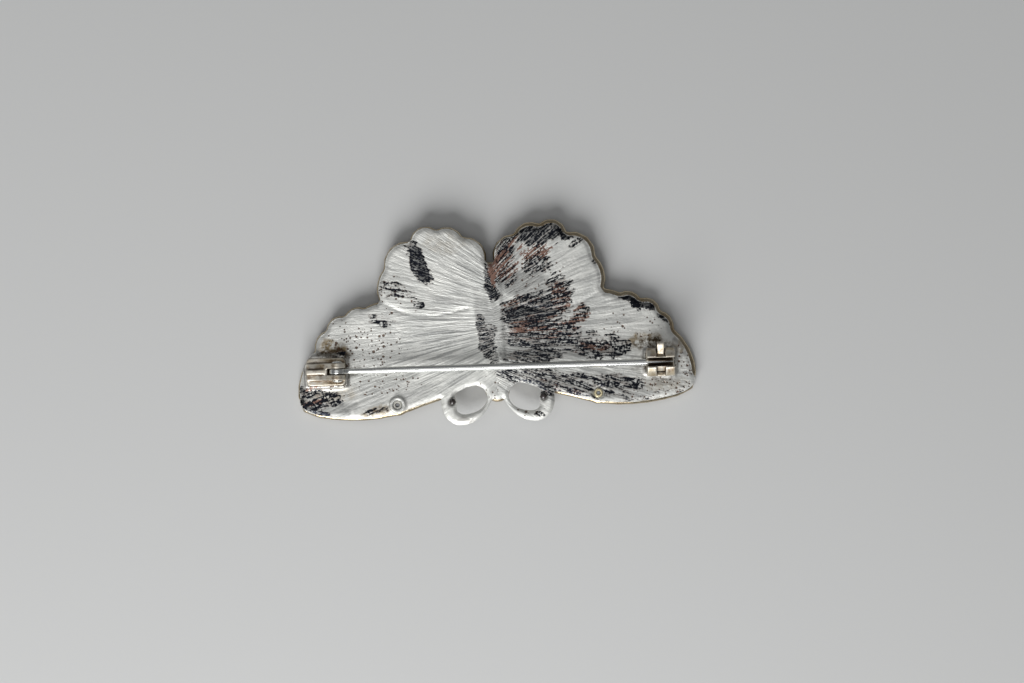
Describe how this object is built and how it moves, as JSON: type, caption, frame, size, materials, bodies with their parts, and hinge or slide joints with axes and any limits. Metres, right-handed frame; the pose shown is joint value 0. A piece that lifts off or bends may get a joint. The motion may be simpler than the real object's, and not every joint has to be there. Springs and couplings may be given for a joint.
{
  "type": "butterfly brooch",
  "caption": "Butterfly brooch of two metal layers with small set stones, a hinged pin and a roller safety catch on its back.",
  "frame": {"origin": "bottom centre of the bounding box: on the surface that the brooch lies on, face down", "axes": "+X along the wings towards the catch, +Y from the antennae towards the hindwings, +Z out of the back towards the garment"},
  "size_m": [0.0638, 0.032, 0.0076],
  "materials": {
    "silver_casting": "silver-tone plated casting, brushed striations, tarnished in places",
    "gold_frame": "gold-tone plated casting, polished rim",
    "clear_stone": "clear faceted glass",
    "pale_brass": "thin pale brass foil eyelet",
    "black_stone": "black glass, polished",
    "warm_nickel": "polished nickel-silver finding, slightly warm",
    "bright_steel": "bright plated steel wire"
  },
  "bodies": {
    "brooch": {"back_plate": "silver_casting", "front_frame": "gold_frame", "forewing_stone_left": "clear_stone", "forewing_stone_right": "clear_stone", "stone_eyelet_left": "pale_brass", "stone_eyelet_right": "pale_brass", "antenna_stone_left": "black_stone", "antenna_stone_right": "black_stone", "hinge_joint": "warm_nickel", "hinge_rivet": "bright_steel", "catch_shell": "warm_nickel"},
    "pin": {"pin_stem": "bright_steel"},
    "roller": {"catch_roller": "warm_nickel"}
  },
  "joints": [
    {"name": "pin_swing", "type": "hinge", "parent": "brooch", "child": "pin", "pos_m": [-0.0251, -0.00626, 0.00553], "axis": [-0.0303, -0.9995, 0], "range_deg": [0, 80]},
    {"name": "roller_turn", "type": "hinge", "parent": "brooch", "child": "roller", "pos_m": [0.02605, -0.00781, 0.00553], "axis": [0.9995, -0.0303, 0], "range_deg": [0, 130]}
  ]
}
